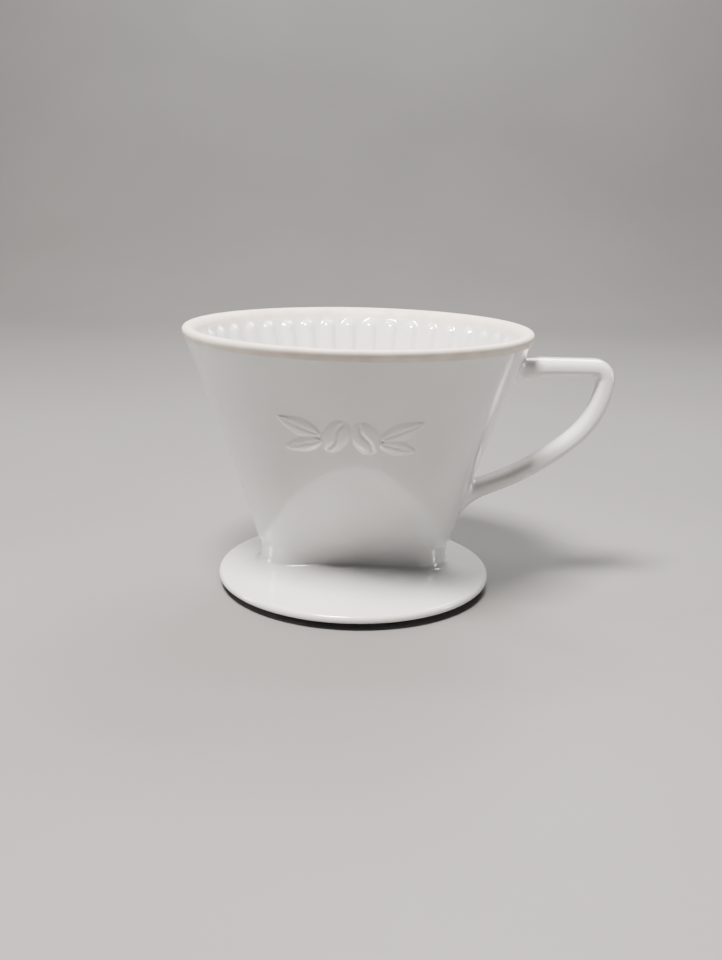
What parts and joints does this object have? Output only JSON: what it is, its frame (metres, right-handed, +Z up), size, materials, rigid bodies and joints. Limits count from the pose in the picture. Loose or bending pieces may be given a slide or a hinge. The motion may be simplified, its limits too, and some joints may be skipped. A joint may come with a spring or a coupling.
{
  "type": "pour over coffee dripper",
  "caption": "Glazed porcelain pour over dripper: oval ribbed cone with drain holes, loop handle and a round plate with a centering ring.",
  "frame": {"origin": "middle of the centering ring's foot, on the surface that the dripper stands on", "axes": "+Z up out of the cone's mouth, +X towards the handle, -Y the side seen with the handle on the right"},
  "size_m": [0.1558, 0.1136, 0.0963],
  "materials": {
    "glazed_porcelain": "clear gloss glaze over white porcelain, bare and matte on the lip of the rim"
  },
  "bodies": {
    "root": {"filter_cone": "glazed_porcelain", "base_plate": "glazed_porcelain", "handle": "glazed_porcelain", "upper_handle_slip": "glazed_porcelain", "lower_handle_slip": "glazed_porcelain", "neck_slip_bead": "glazed_porcelain", "centering_ring": "glazed_porcelain", "ring_slip_bead": "glazed_porcelain"}
  },
  "joints": []
}
